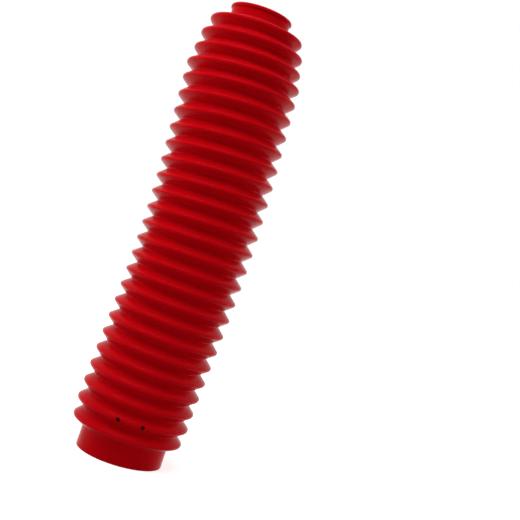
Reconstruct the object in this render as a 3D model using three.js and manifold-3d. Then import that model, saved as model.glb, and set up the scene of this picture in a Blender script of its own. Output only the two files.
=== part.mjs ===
// A moulded rubber fork gaiter: a bellows of 26 folds between a wide lower collar and a narrow
// upper collar with a beaded lip. It is one piece, so the model is one mesh.
// Millimetres, +Z up. It stands on its lower rim, with the two vent holes facing -Y.

import * as THREE from 'three';
import { mergeVertices } from 'three/addons/utils/BufferGeometryUtils.js';
import Module from 'manifold-3d';

const wasm = await Module();
wasm.setup();

// The bellows. Crest and valley sizes are those of the outer face.
const foldCount = 26;
const foldPitch = 12.35;
const crestRadius = 42.4;
const foldDepth = 6;
const bellowsWall = 1.6;
const crestInnerRound = 0.4;
const valleyOuterRound = 1;

// The lowest fold is a little smaller than the full ones, and the highest folds step in to the
// upper collar. These are listed from the top down. The folds near the top also lie closer.
const lowestCrestRadius = 41.3;
const steppedCrestRadii = [34.8, 38.3, 40.1];
const closeFoldPitch = 11.3;
const closeFoldCount = 4;

// The lower collar, which is clamped round the fork's slider
const lowerBoreRadius = 30;
const lowerCollarWall = 2.3;
const lowerCollarHeight = 15;
const lowerEdgeRound = 0.5;

// The upper collar, which is clamped round the fork's tube
const upperBoreRadius = 20;
const upperCollarWall = 1.9;
const upperCollarHeight = 8.5;
const lipBeadRadius = 1.6;
const lipStandsProud = 1.2;

// Two vent holes through the crest of the second fold from the bottom, towards its underside
const ventRadius = 1.6;
const ventFold = 1;
const ventBelowCrest = 0.4;
const ventHalfAngle = THREE.MathUtils.degToRad(12.5);

// The loose gaiter bows gently to +X between its rims, which stay level and in line.
const bow = 6;

// Facets around the piece, and along each rounded corner of the section
const segmentsAround = 22;
const outerCrestSteps = 2;
const outerValleySteps = 1;
const innerCrestSteps = 0;
const innerValleySteps = 2;
const beadSteps = 4;
const ventSides = 12;

// What follows from the sizes above
const lowerCollarRadius = lowerBoreRadius + lowerCollarWall;
const upperCollarRadius = upperBoreRadius + upperCollarWall;
const crestOuterRound = crestInnerRound + bellowsWall;
const upperRootHeight = crestHeight(foldCount - 1) + closeFoldPitch / 2;
const height = upperRootHeight + upperCollarHeight;

function crestHeight(fold) {
  const closeBelow = Math.max(0, fold - (foldCount - 1 - closeFoldCount));
  const fullBelow = fold - closeBelow + 0.5;
  return lowerCollarHeight + fullBelow * foldPitch + closeBelow * closeFoldPitch;
}

function radiusOfCrest(fold) {
  const fromTop = foldCount - 1 - fold;
  if (fromTop < steppedCrestRadii.length) return steppedCrestRadii[fromTop];
  return fold === 0 ? lowestCrestRadius : crestRadius;
}

// The rounded corners of the section from the bottom up: the lower collar's root, then a crest and
// a valley for each fold, and the upper collar's root last. Each is a circle that both faces of the
// wall follow, so the wall keeps its thickness round it.
function sectionCorners() {
  const corners = [valley(lowerCollarHeight, lowerCollarRadius)];
  for (let fold = 0; fold < foldCount; fold += 1) {
    corners.push(crest(crestHeight(fold), radiusOfCrest(fold)));
    if (fold < foldCount - 1) {
      const meanHeight = (crestHeight(fold) + crestHeight(fold + 1)) / 2;
      const meanCrest = (radiusOfCrest(fold) + radiusOfCrest(fold + 1)) / 2;
      corners.push(valley(meanHeight, meanCrest - foldDepth));
    }
  }
  corners.push(valley(upperRootHeight, upperCollarRadius));
  return corners;
}

function crest(z, radius) {
  return { z, r: radius - crestOuterRound, round: crestOuterRound, side: 1 };
}

function valley(z, radius) {
  return { z, r: radius + valleyOuterRound, round: valleyOuterRound, side: -1 };
}

// The angle between the axis and the straight flank that touches two neighbouring corners
function flankAngle(a, b) {
  const rise = b.z - a.z;
  const reach = (b.r - a.r) * b.side;
  return Math.atan2(reach, rise) + Math.asin((a.round + b.round) / Math.hypot(rise, reach));
}

// One face of the bellows from the bottom up. The inset is 0 on the outer face and the wall's
// thickness on the inner one. A corner's face normal turns from one flank's to the next.
function bellowsFace(inset, crestSteps, valleySteps) {
  const corners = sectionCorners();
  const points = [];
  corners.forEach((corner, i) => {
    const before = i > 0 ? flankAngle(corners[i - 1], corner) : 0;
    const after = i < corners.length - 1 ? flankAngle(corner, corners[i + 1]) : 0;
    const radius = corner.round - corner.side * inset;
    const steps = corner.side > 0 ? crestSteps : valleySteps;
    points.push(...arc(corner, corner.side * radius, -corner.side * before, corner.side * after, steps));
  });
  return points;
}

// Points on a corner's circle, from one angle of the face normal to another. Angles are measured
// from straight out, upwards. With no steps it is the one point halfway.
function arc(centre, radius, from, to, steps) {
  const points = [];
  for (let i = 0; i <= steps; i += 1) {
    const share = steps > 0 ? i / steps : 0.5;
    const angle = from + (to - from) * share;
    points.push(new THREE.Vector2(centre.r + radius * Math.cos(angle), centre.z + radius * Math.sin(angle)));
  }
  return points;
}

// The lip is a bead round the top of the upper collar, with a flat top face inside it.
function lip() {
  const centre = { z: height - lipBeadRadius, r: upperCollarRadius + lipStandsProud - lipBeadRadius };
  const start = -Math.acos((upperCollarRadius - centre.r) / lipBeadRadius);
  return arc(centre, lipBeadRadius, start, Math.PI / 2, beadSteps);
}

// The whole section as a closed outline: up the outer face, over the lip and down the inner face.
function sectionOutline() {
  const innerFace = bellowsFace(bellowsWall, innerCrestSteps, innerValleySteps).reverse();
  const upperStep = upperCollarWall - bellowsWall;
  const lowerStep = lowerCollarWall - bellowsWall;
  const outline = [
    new THREE.Vector2(lowerCollarRadius - lowerEdgeRound, 0),
    new THREE.Vector2(lowerCollarRadius, lowerEdgeRound),
    ...bellowsFace(0, outerCrestSteps, outerValleySteps),
    ...lip(),
    new THREE.Vector2(upperBoreRadius, height),
    new THREE.Vector2(upperBoreRadius, upperRootHeight + upperStep),
    ...innerFace,
    new THREE.Vector2(lowerBoreRadius, lowerCollarHeight - lowerStep),
    new THREE.Vector2(lowerBoreRadius, 0),
  ];
  outline.push(outline[0].clone());
  return outline;
}

function toSolid(geometry) {
  geometry.deleteAttribute('normal');
  geometry.deleteAttribute('uv');
  const merged = mergeVertices(geometry, 1e-4);
  const vertProperties = new Float32Array(merged.getAttribute('position').array);
  const triVerts = new Uint32Array(merged.getIndex().array);
  return new wasm.Manifold(new wasm.Mesh({ numProp: 3, vertProperties, triVerts }));
}

function toGeometry(solid) {
  const mesh = solid.getMesh();
  const geometry = new THREE.BufferGeometry();
  geometry.setAttribute('position', new THREE.BufferAttribute(mesh.vertProperties, 3));
  geometry.setIndex(new THREE.BufferAttribute(mesh.triVerts, 1));
  return geometry;
}

// A pin that drills one vent: it points straight out, and is long enough to pass the wall once.
function ventDrill(side) {
  const length = 2 * foldDepth;
  const drill = new THREE.CylinderGeometry(ventRadius, ventRadius, length, ventSides);
  drill.translate(0, -radiusOfCrest(ventFold), 0);
  drill.rotateZ(side * ventHalfAngle);
  drill.translate(0, 0, crestHeight(ventFold) - ventBelowCrest);
  return toSolid(drill);
}

// Bends the straight gaiter: each level section moves sideways and tips with the centre line.
// The line's own middle is the Z axis, so the rims' centres lie half the bow to -X of it.
function bend(geometry) {
  const position = geometry.getAttribute('position');
  for (let i = 0; i < position.count; i += 1) {
    const x = position.getX(i);
    const z = position.getZ(i);
    const share = z / height;
    const offset = bow * (Math.sin(Math.PI * share) ** 2 - 0.5);
    const tip = Math.atan((bow * Math.PI * Math.sin(2 * Math.PI * share)) / height);
    position.setX(i, offset + x * Math.cos(tip));
    position.setZ(i, z - x * Math.sin(tip));
  }
  return geometry;
}

function gaiterGeometry() {
  const turned = new THREE.LatheGeometry(sectionOutline(), segmentsAround);
  turned.rotateX(Math.PI / 2);
  const drilled = toSolid(turned).subtract(ventDrill(-1)).subtract(ventDrill(1));
  const geometry = bend(toGeometry(drilled));
  geometry.computeVertexNormals();
  return geometry;
}

const rubber = new THREE.MeshStandardMaterial({ color: 0xa8060f, roughness: 0.45, metalness: 0 });

const gaiter = new THREE.Mesh(gaiterGeometry(), rubber);
gaiter.name = 'gaiter';

const forkGaiter = new THREE.Group();
forkGaiter.add(gaiter);

export default forkGaiter;
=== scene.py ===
"""A moulded red rubber fork gaiter, standing on its wide lower rim on a pale floor. Metres."""

import math
from collections import namedtuple

import bmesh
import bpy
from mathutils import Matrix, Vector, noise


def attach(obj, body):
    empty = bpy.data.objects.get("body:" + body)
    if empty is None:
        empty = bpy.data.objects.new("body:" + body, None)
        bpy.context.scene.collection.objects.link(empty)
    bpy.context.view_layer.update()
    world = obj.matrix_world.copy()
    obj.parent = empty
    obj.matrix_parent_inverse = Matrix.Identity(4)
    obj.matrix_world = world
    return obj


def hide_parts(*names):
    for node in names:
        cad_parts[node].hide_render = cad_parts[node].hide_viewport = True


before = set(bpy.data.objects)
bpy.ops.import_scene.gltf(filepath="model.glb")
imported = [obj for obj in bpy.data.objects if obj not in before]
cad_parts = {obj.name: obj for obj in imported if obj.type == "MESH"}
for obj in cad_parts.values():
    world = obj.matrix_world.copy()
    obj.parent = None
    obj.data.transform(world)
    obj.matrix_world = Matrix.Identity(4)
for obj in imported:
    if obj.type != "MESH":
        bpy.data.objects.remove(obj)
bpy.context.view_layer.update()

MM = 0.001

# The bellows, counted from the lower rim up. Radii are those of the outer face, and the stepped ones
# run from the top fold down.
FOLD_COUNT = 26
FOLD_PITCH = 12.35 * MM
CLOSE_FOLD_PITCH = 11.3 * MM
CLOSE_FOLD_COUNT = 4
CREST_RADIUS = 42.4 * MM
LOWEST_CREST_RADIUS = 41.3 * MM
STEPPED_CREST_RADII = (34.8 * MM, 38.3 * MM, 40.1 * MM)
FOLD_DEPTH = 6 * MM
WALL = 1.6 * MM
CREST_INNER_ROUND = 0.4 * MM
CREST_OUTER_ROUND = CREST_INNER_ROUND + WALL
VALLEY_OUTER_ROUND = 0.5 * MM

# The two collars and the beaded lip
LOWER_BORE_RADIUS = 30 * MM
LOWER_COLLAR_WALL = 2.3 * MM
LOWER_COLLAR_HEIGHT = 15 * MM
LOWER_COLLAR_RADIUS = LOWER_BORE_RADIUS + LOWER_COLLAR_WALL
UPPER_BORE_RADIUS = 20 * MM
UPPER_COLLAR_WALL = 1.9 * MM
UPPER_COLLAR_HEIGHT = 8.5 * MM
UPPER_COLLAR_RADIUS = UPPER_BORE_RADIUS + UPPER_COLLAR_WALL
LIP_BEAD_RADIUS = 1.6 * MM
LIP_STANDS_PROUD = 1.2 * MM
LIP_ROOT_ROUND = 1.2 * MM
RIM_OUTER_ROUND = 0.5 * MM
RIM_INNER_ROUND = 0.35 * MM

# The vent holes, side by side through the crest of the second fold
VENT_RADIUS = 1.6 * MM
VENT_FOLD = 1
VENT_BELOW_CREST = 0.4 * MM
VENT_HALF_ANGLE = math.radians(12.5)

# The loose gaiter bows to +X, and thin rubber is never quite even.
BOW = 6 * MM
UNEVEN_HEIGHT = 0.12 * MM
UNEVEN_SPACING = 26 * MM

# How finely the surface is cut
STEPS_AROUND = 160
CREST_STEPS = 7
VALLEY_STEPS = 4
INNER_VALLEY_STEPS = 3
BEAD_STEPS = 16
LIP_ROOT_STEPS = 6
EDGE_STEPS = 4
VENT_SIDES = 40
WELD_DISTANCE = 0.001 * MM
SHARP_EDGE_ANGLE = math.radians(50)

# The camera, level with the gaiter's middle and rolled so that the gaiter leans across the picture
CAMERA_PLACE = (-11.6 * MM, -659.4 * MM, 169.7 * MM)
CAMERA_TURN = math.radians(-5.8)
CAMERA_ROLL = math.radians(18.13)
CAMERA_LOOKS_DOWN = math.radians(1.06)
CAMERA_LENS_MM = 61.93
CAMERA_SHIFT = 0.031


def make_camera():
    data = bpy.data.cameras.new("camera")
    data.lens = CAMERA_LENS_MM
    data.shift_y = CAMERA_SHIFT
    data.clip_start = 10 * MM
    camera = bpy.data.objects.new("camera", data)
    bpy.context.scene.collection.objects.link(camera)
    turn = Matrix.Rotation(CAMERA_TURN, 4, "Z")
    facing = Matrix.Rotation(math.pi / 2 - CAMERA_LOOKS_DOWN, 4, "X")
    roll = Matrix.Rotation(CAMERA_ROLL, 4, "Z")
    camera.matrix_world = Matrix.Translation(CAMERA_PLACE) @ turn @ facing @ roll
    bpy.context.scene.camera = camera


make_camera()


# Shared helpers

def linear(hex_colour):
    """The linear colour of an sRGB hex value, with an alpha of 1."""
    channels = [int(hex_colour[i:i + 2], 16) / 255 for i in (1, 3, 5)]
    return [c / 12.92 if c <= 0.04045 else ((c + 0.055) / 1.055) ** 2.4 for c in channels] + [1]


def add_node(tree, kind, settings=None, links=None):
    """Adds a node. Settings name its properties or input sockets, links give sources for inputs."""
    node = tree.nodes.new(kind)
    for name, value in (settings or {}).items():
        if isinstance(name, int) or name in node.inputs:
            node.inputs[name].default_value = value
        else:
            setattr(node, name, value)
    for name, source in (links or {}).items():
        tree.links.new(source, node.inputs[name])
    return node


def add_noise(tree, place, size, detail):
    """Noise in patches of about the given size."""
    return add_node(tree, "ShaderNodeTexNoise", {"Scale": 1 / size, "Detail": detail},
                    {"Vector": place}).outputs["Fac"]


def new_material(name):
    material = bpy.data.materials.new(name)
    material.use_nodes = True
    material.node_tree.nodes.clear()
    return material, material.node_tree


def new_piece(name, bm, material):
    """Makes an object at the origin from a bmesh."""
    mesh = bpy.data.meshes.new(name)
    bm.to_mesh(mesh)
    bm.free()
    mesh.materials.append(material)
    piece = bpy.data.objects.new(name, mesh)
    bpy.context.scene.collection.objects.link(piece)
    return piece


# Materials

def moulded_rubber():
    """Natural rubber with a red pigment, compression moulded: deep and saturated seen square on. The
    skin off the mould is smooth but only faintly glossy, so the room shows in it just where it turns
    away from the eye. A fine pink bloom lies there too, as it does on filled rubber."""
    material, tree = new_material("moulded_red_rubber")
    place = add_node(tree, "ShaderNodeTexCoord").outputs["Object"]

    # The pigment is a little uneven, in clouds about 30 mm across.
    cloud_size = 30 * MM
    clouds = add_noise(tree, place, cloud_size, 3)
    pigment = add_node(tree, "ShaderNodeMix",
                       {"data_type": "RGBA", 6: linear("#A2020A"), 7: linear("#AC040D")}, {0: clouds})

    # The mould's blasted face leaves a grain of about 0.1 mm, drawn at 0.8 mm so that it shows.
    grain_size = 0.8 * MM
    grain_depth = 0.02 * MM
    grain = add_noise(tree, place, grain_size, 2)
    bump = add_node(tree, "ShaderNodeBump", {"Strength": 0.6, "Distance": grain_depth},
                    {"Height": grain})

    # Handling leaves the gloss slightly patchy.
    patch_size = 9 * MM
    patches = add_noise(tree, place, patch_size, 2)
    roughness = add_node(tree, "ShaderNodeMapRange", {"To Min": 0.14, "To Max": 0.2},
                         {"Value": patches})

    surface = add_node(tree, "ShaderNodeBsdfPrincipled",
                       {"IOR": 1.5, "Specular IOR Level": 0.025, "Specular Tint": linear("#FF5050"),
                        "Sheen Weight": 0.3, "Sheen Roughness": 0.2, "Sheen Tint": linear("#FF5A7A")},
                       {"Base Color": pigment.outputs[2], "Roughness": roughness.outputs["Result"],
                        "Normal": bump.outputs["Normal"]})
    add_node(tree, "ShaderNodeOutputMaterial", None, {"Surface": surface.outputs["BSDF"]})
    return material


# The section of the gaiter. A corner is a circle that both faces of the wall follow. Its side is 1 at a
# crest and -1 at a valley.

Corner = namedtuple("Corner", "z r round side")


def crest_height(fold):
    close_below = max(0, fold - (FOLD_COUNT - 1 - CLOSE_FOLD_COUNT))
    full_below = fold - close_below + 0.5
    return LOWER_COLLAR_HEIGHT + full_below * FOLD_PITCH + close_below * CLOSE_FOLD_PITCH


def radius_of_crest(fold):
    from_top = FOLD_COUNT - 1 - fold
    if from_top < len(STEPPED_CREST_RADII):
        return STEPPED_CREST_RADII[from_top]
    return LOWEST_CREST_RADIUS if fold == 0 else CREST_RADIUS


UPPER_ROOT_HEIGHT = crest_height(FOLD_COUNT - 1) + CLOSE_FOLD_PITCH / 2
HEIGHT = UPPER_ROOT_HEIGHT + UPPER_COLLAR_HEIGHT


def crest(z, radius):
    return Corner(z, radius - CREST_OUTER_ROUND, CREST_OUTER_ROUND, 1)


def valley(z, radius):
    return Corner(z, radius + VALLEY_OUTER_ROUND, VALLEY_OUTER_ROUND, -1)


def section_corners():
    corners = [valley(LOWER_COLLAR_HEIGHT, LOWER_COLLAR_RADIUS)]
    for fold in range(FOLD_COUNT):
        corners.append(crest(crest_height(fold), radius_of_crest(fold)))
        if fold < FOLD_COUNT - 1:
            mean_height = (crest_height(fold) + crest_height(fold + 1)) / 2
            mean_crest = (radius_of_crest(fold) + radius_of_crest(fold + 1)) / 2
            corners.append(valley(mean_height, mean_crest - FOLD_DEPTH))
    corners.append(valley(UPPER_ROOT_HEIGHT, UPPER_COLLAR_RADIUS))
    return corners


def flank_angle(a, b):
    """The angle between the axis and the flank that touches two neighbouring corners."""
    rise = b.z - a.z
    reach = (b.r - a.r) * b.side
    return math.atan2(reach, rise) + math.asin((a.round + b.round) / math.hypot(rise, reach))


def arc(r, z, radius, start, end, steps):
    """(radius, height) points on a circle, between two angles measured from straight out, upwards."""
    if steps == 0:
        angles = [(start + end) / 2]
    else:
        angles = [start + (end - start) * i / steps for i in range(steps + 1)]
    return [(r + radius * math.cos(angle), z + radius * math.sin(angle)) for angle in angles]


def bellows_face(inset, crest_steps, valley_steps):
    """One face of the bellows from the bottom up, set in from the outer face."""
    corners = section_corners()
    points = []
    for i, corner in enumerate(corners):
        before = flank_angle(corners[i - 1], corner) if i > 0 else 0
        after = flank_angle(corner, corners[i + 1]) if i < len(corners) - 1 else 0
        radius = corner.round - corner.side * inset
        steps = crest_steps if corner.side > 0 else valley_steps
        points += arc(corner.r, corner.z, corner.side * radius,
                      -corner.side * before, corner.side * after, steps)
    return points


def lip():
    """The bead round the top, with a small hollow round under it where it leaves the collar."""
    bead_r = UPPER_COLLAR_RADIUS + LIP_STANDS_PROUD - LIP_BEAD_RADIUS
    bead_z = HEIGHT - LIP_BEAD_RADIUS
    root_r = UPPER_COLLAR_RADIUS + LIP_ROOT_ROUND
    drop = math.sqrt((LIP_BEAD_RADIUS + LIP_ROOT_ROUND) ** 2 - (root_r - bead_r) ** 2)
    meets = math.atan2(drop, bead_r - root_r)
    root = arc(root_r, bead_z - drop, LIP_ROOT_ROUND, math.pi, meets, LIP_ROOT_STEPS)
    bead = arc(bead_r, bead_z, LIP_BEAD_RADIUS, meets - math.pi, math.pi / 2, BEAD_STEPS)
    return root + bead[1:]


def section_outline():
    """The closed section: up the outer face, over the lip, down the inner face."""
    quarter = math.pi / 2
    lower_outer = arc(LOWER_COLLAR_RADIUS - RIM_OUTER_ROUND, RIM_OUTER_ROUND, RIM_OUTER_ROUND,
                      -quarter, 0, EDGE_STEPS)
    upper_inner = arc(UPPER_BORE_RADIUS + RIM_INNER_ROUND, HEIGHT - RIM_INNER_ROUND, RIM_INNER_ROUND,
                      quarter, 2 * quarter, EDGE_STEPS)
    lower_inner = arc(LOWER_BORE_RADIUS + RIM_INNER_ROUND, RIM_INNER_ROUND, RIM_INNER_ROUND,
                      2 * quarter, 3 * quarter, EDGE_STEPS)
    inner_face = bellows_face(WALL, 0, INNER_VALLEY_STEPS)[::-1]
    return (
        lower_outer
        + bellows_face(0, CREST_STEPS, VALLEY_STEPS)
        + lip()
        + upper_inner
        + [(UPPER_BORE_RADIUS, UPPER_ROOT_HEIGHT + UPPER_COLLAR_WALL - WALL)]
        + inner_face
        + [(LOWER_BORE_RADIUS, LOWER_COLLAR_HEIGHT - LOWER_COLLAR_WALL + WALL)]
        + lower_inner
    )


# The gaiter itself

def turned_gaiter():
    """The straight gaiter: its section spun once round the Z axis."""
    bm = bmesh.new()
    ring = [bm.verts.new((0, -r, z)) for r, z in section_outline()]
    edges = [bm.edges.new(pair) for pair in zip(ring, ring[1:] + ring[:1])]
    bmesh.ops.spin(bm, geom=ring + edges, cent=(0, 0, 0), axis=(0, 0, 1), angle=2 * math.pi,
                   steps=STEPS_AROUND, use_merge=True)
    bmesh.ops.remove_doubles(bm, verts=bm.verts, dist=WELD_DISTANCE)
    bmesh.ops.recalc_face_normals(bm, faces=bm.faces)
    return bm


def vent_pins(material):
    """Two round pins, one for each vent hole, pointing straight out through the wall."""
    bm = bmesh.new()
    for side in (-1, 1):
        centre = Vector((0, -radius_of_crest(VENT_FOLD), crest_height(VENT_FOLD) - VENT_BELOW_CREST))
        turn = Matrix.Rotation(side * VENT_HALF_ANGLE, 4, "Z")
        along = Matrix.Rotation(math.pi / 2, 4, "X")
        bmesh.ops.create_cone(bm, cap_ends=True, segments=VENT_SIDES, radius1=VENT_RADIUS,
                              radius2=VENT_RADIUS, depth=2 * FOLD_DEPTH,
                              matrix=turn @ Matrix.Translation(centre) @ along)
    return new_piece("vent_pins", bm, material)


def cut_vents(piece, material):
    pins = vent_pins(material)
    cut = piece.modifiers.new("vents", "BOOLEAN")
    cut.operation = "DIFFERENCE"
    cut.solver = "EXACT"
    cut.object = pins
    depsgraph = bpy.context.evaluated_depsgraph_get()
    drilled = bpy.data.meshes.new_from_object(piece.evaluated_get(depsgraph))
    piece.modifiers.clear()
    piece.data = drilled
    bpy.data.objects.remove(pins)


def uneven(point):
    """How far the rubber lies out of true at a point. It fades to nothing at both rims."""
    share = min(max(point.z / HEIGHT, 0), 1)
    fade = math.sin(math.pi * share) ** 0.5
    return UNEVEN_HEIGHT * fade * noise.noise(point / UNEVEN_SPACING)


def bent(point):
    """Where a point of the straight gaiter lies once it bows. The rims stay level and in line."""
    share = point.z / HEIGHT
    offset = BOW * (math.sin(math.pi * share) ** 2 - 0.5)
    tip = math.atan(BOW * math.pi * math.sin(2 * math.pi * share) / HEIGHT)
    return Vector((offset + point.x * math.cos(tip), point.y, point.z - point.x * math.sin(tip)))


def settle(piece):
    """Makes the wall slightly uneven and bows the gaiter."""
    for vertex in piece.data.vertices:
        point = vertex.co.copy()
        outward = Vector((point.x, point.y, 0)).normalized()
        vertex.co = bent(point + outward * uneven(point))
    piece.data.update()


def make_gaiter():
    rubber = moulded_rubber()
    gaiter = new_piece("rubber_bellows", turned_gaiter(), rubber)
    cut_vents(gaiter, rubber)
    settle(gaiter)
    gaiter.data.shade_smooth()
    gaiter.data.set_sharp_from_angle(angle=SHARP_EDGE_ANGLE)
    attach(gaiter, "root")
    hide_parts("gaiter")


# The stage: a white backdrop, and a floor that takes the gaiter's shadow near it and is plain white
# further out

BACKDROP_LIGHT = 1.0
FLOOR_SIZE = 6.0
FLOOR_SHADE = 0.3
FLOOR_FADES_FROM = 0.15
FLOOR_FADES_TO = 0.4

# The room's own light comes from its walls, and fades to nothing towards the ceiling and the floor.
WALL_LIGHT = 1.0
CEILING_LIGHT = 0.0
WALL_LIGHT_FADES_FROM = 0.15
WALL_LIGHT_FADES_TO = 0.75

# Three softboxes: the key, high up in front on the left, and one at each side, a little behind, that
# lights the ends of the folds
LIGHTS_AIM = (0, 0, 0.17)
KEY_PLACE = (-0.21, -0.36, 0.92)
KEY_SIZE = 0.75
KEY_WATTS = 7.6
LEFT_PLACE = (-0.94, 0.34, 0.22)
RIGHT_PLACE = (0.87, 0.5, 0.22)
SIDE_SIZE = 0.6
SIDE_WATTS = 8.0


def seen_directly(tree):
    """A factor of 1 for the rays that show the background: from the camera, a gloss or a glass."""
    path = add_node(tree, "ShaderNodeLightPath")
    gloss = add_node(tree, "ShaderNodeMath", {"operation": "MAXIMUM"},
                     {0: path.outputs["Is Camera Ray"], 1: path.outputs["Is Glossy Ray"]})
    return add_node(tree, "ShaderNodeMath", {"operation": "MAXIMUM"},
                    {0: gloss.outputs[0], 1: path.outputs["Is Transmission Ray"]}).outputs[0]


def pale_floor():
    """Matt white paper. Part of its light is its own, for the rays that show the background, so that
    it is white there and only the gaiter's shadow darkens it. Further out it is white throughout."""
    material, tree = new_material("white_paper_floor")
    place = add_node(tree, "ShaderNodeTexCoord").outputs["Object"]
    distance = add_node(tree, "ShaderNodeVectorMath", {"operation": "LENGTH"}, {0: place})
    near = add_node(tree, "ShaderNodeMapRange",
                    {"interpolation_type": "SMOOTHSTEP", "From Min": FLOOR_FADES_FROM,
                     "From Max": FLOOR_FADES_TO, "To Min": FLOOR_SHADE, "To Max": 0.0},
                    {"Value": distance.outputs["Value"]})
    own = add_node(tree, "ShaderNodeMath", {"operation": "SUBTRACT", 0: BACKDROP_LIGHT},
                   {1: near.outputs["Result"]})
    strength = add_node(tree, "ShaderNodeMath", {"operation": "MULTIPLY"},
                        {0: own.outputs[0], 1: seen_directly(tree)})
    glow = add_node(tree, "ShaderNodeEmission", None, {"Strength": strength.outputs[0]})
    paper = add_node(tree, "ShaderNodeBsdfDiffuse", {"Color": linear("#CACACA")})
    both = add_node(tree, "ShaderNodeAddShader", None, {0: paper.outputs[0], 1: glow.outputs[0]})
    add_node(tree, "ShaderNodeOutputMaterial", None, {"Surface": both.outputs[0]})
    return material


def make_floor():
    bm = bmesh.new()
    bmesh.ops.create_grid(bm, x_segments=1, y_segments=1, size=FLOOR_SIZE / 2)
    new_piece("floor", bm, pale_floor())


def make_world():
    world = bpy.data.worlds.new("studio")
    world.use_nodes = True
    tree = world.node_tree
    tree.nodes.clear()
    direction = add_node(tree, "ShaderNodeTexCoord").outputs["Generated"]
    towards = add_node(tree, "ShaderNodeSeparateXYZ", None, {0: direction})
    steepness = add_node(tree, "ShaderNodeMath", {"operation": "ABSOLUTE"}, {0: towards.outputs["Z"]})
    room = add_node(tree, "ShaderNodeMapRange",
                    {"interpolation_type": "SMOOTHSTEP", "From Min": WALL_LIGHT_FADES_FROM,
                     "From Max": WALL_LIGHT_FADES_TO, "To Min": WALL_LIGHT, "To Max": CEILING_LIGHT},
                    {"Value": steepness.outputs[0]})
    strength = add_node(tree, "ShaderNodeMapRange", {"To Max": BACKDROP_LIGHT},
                        {"Value": seen_directly(tree), "To Min": room.outputs["Result"]})
    back = add_node(tree, "ShaderNodeBackground", {"Color": linear("#FFFFFF")},
                    {"Strength": strength.outputs["Result"]})
    add_node(tree, "ShaderNodeOutputWorld", None, {"Surface": back.outputs[0]})
    bpy.context.scene.world = world


def make_softbox(name, place, size, watts, shows_in_gloss=True):
    data = bpy.data.lights.new(name, "AREA")
    data.size = size
    data.energy = watts
    light = bpy.data.objects.new(name, data)
    light.visible_glossy = shows_in_gloss
    bpy.context.scene.collection.objects.link(light)
    aim = Vector(LIGHTS_AIM) - Vector(place)
    light.matrix_world = Matrix.Translation(place) @ aim.to_track_quat("-Z", "Y").to_matrix().to_4x4()


make_gaiter()
make_floor()
make_world()
make_softbox("key_softbox", KEY_PLACE, KEY_SIZE, KEY_WATTS)
make_softbox("left_softbox", LEFT_PLACE, SIDE_SIZE, SIDE_WATTS, shows_in_gloss=False)
make_softbox("right_softbox", RIGHT_PLACE, SIDE_SIZE, SIDE_WATTS, shows_in_gloss=False)
bpy.context.scene.view_settings.view_transform = "Standard"
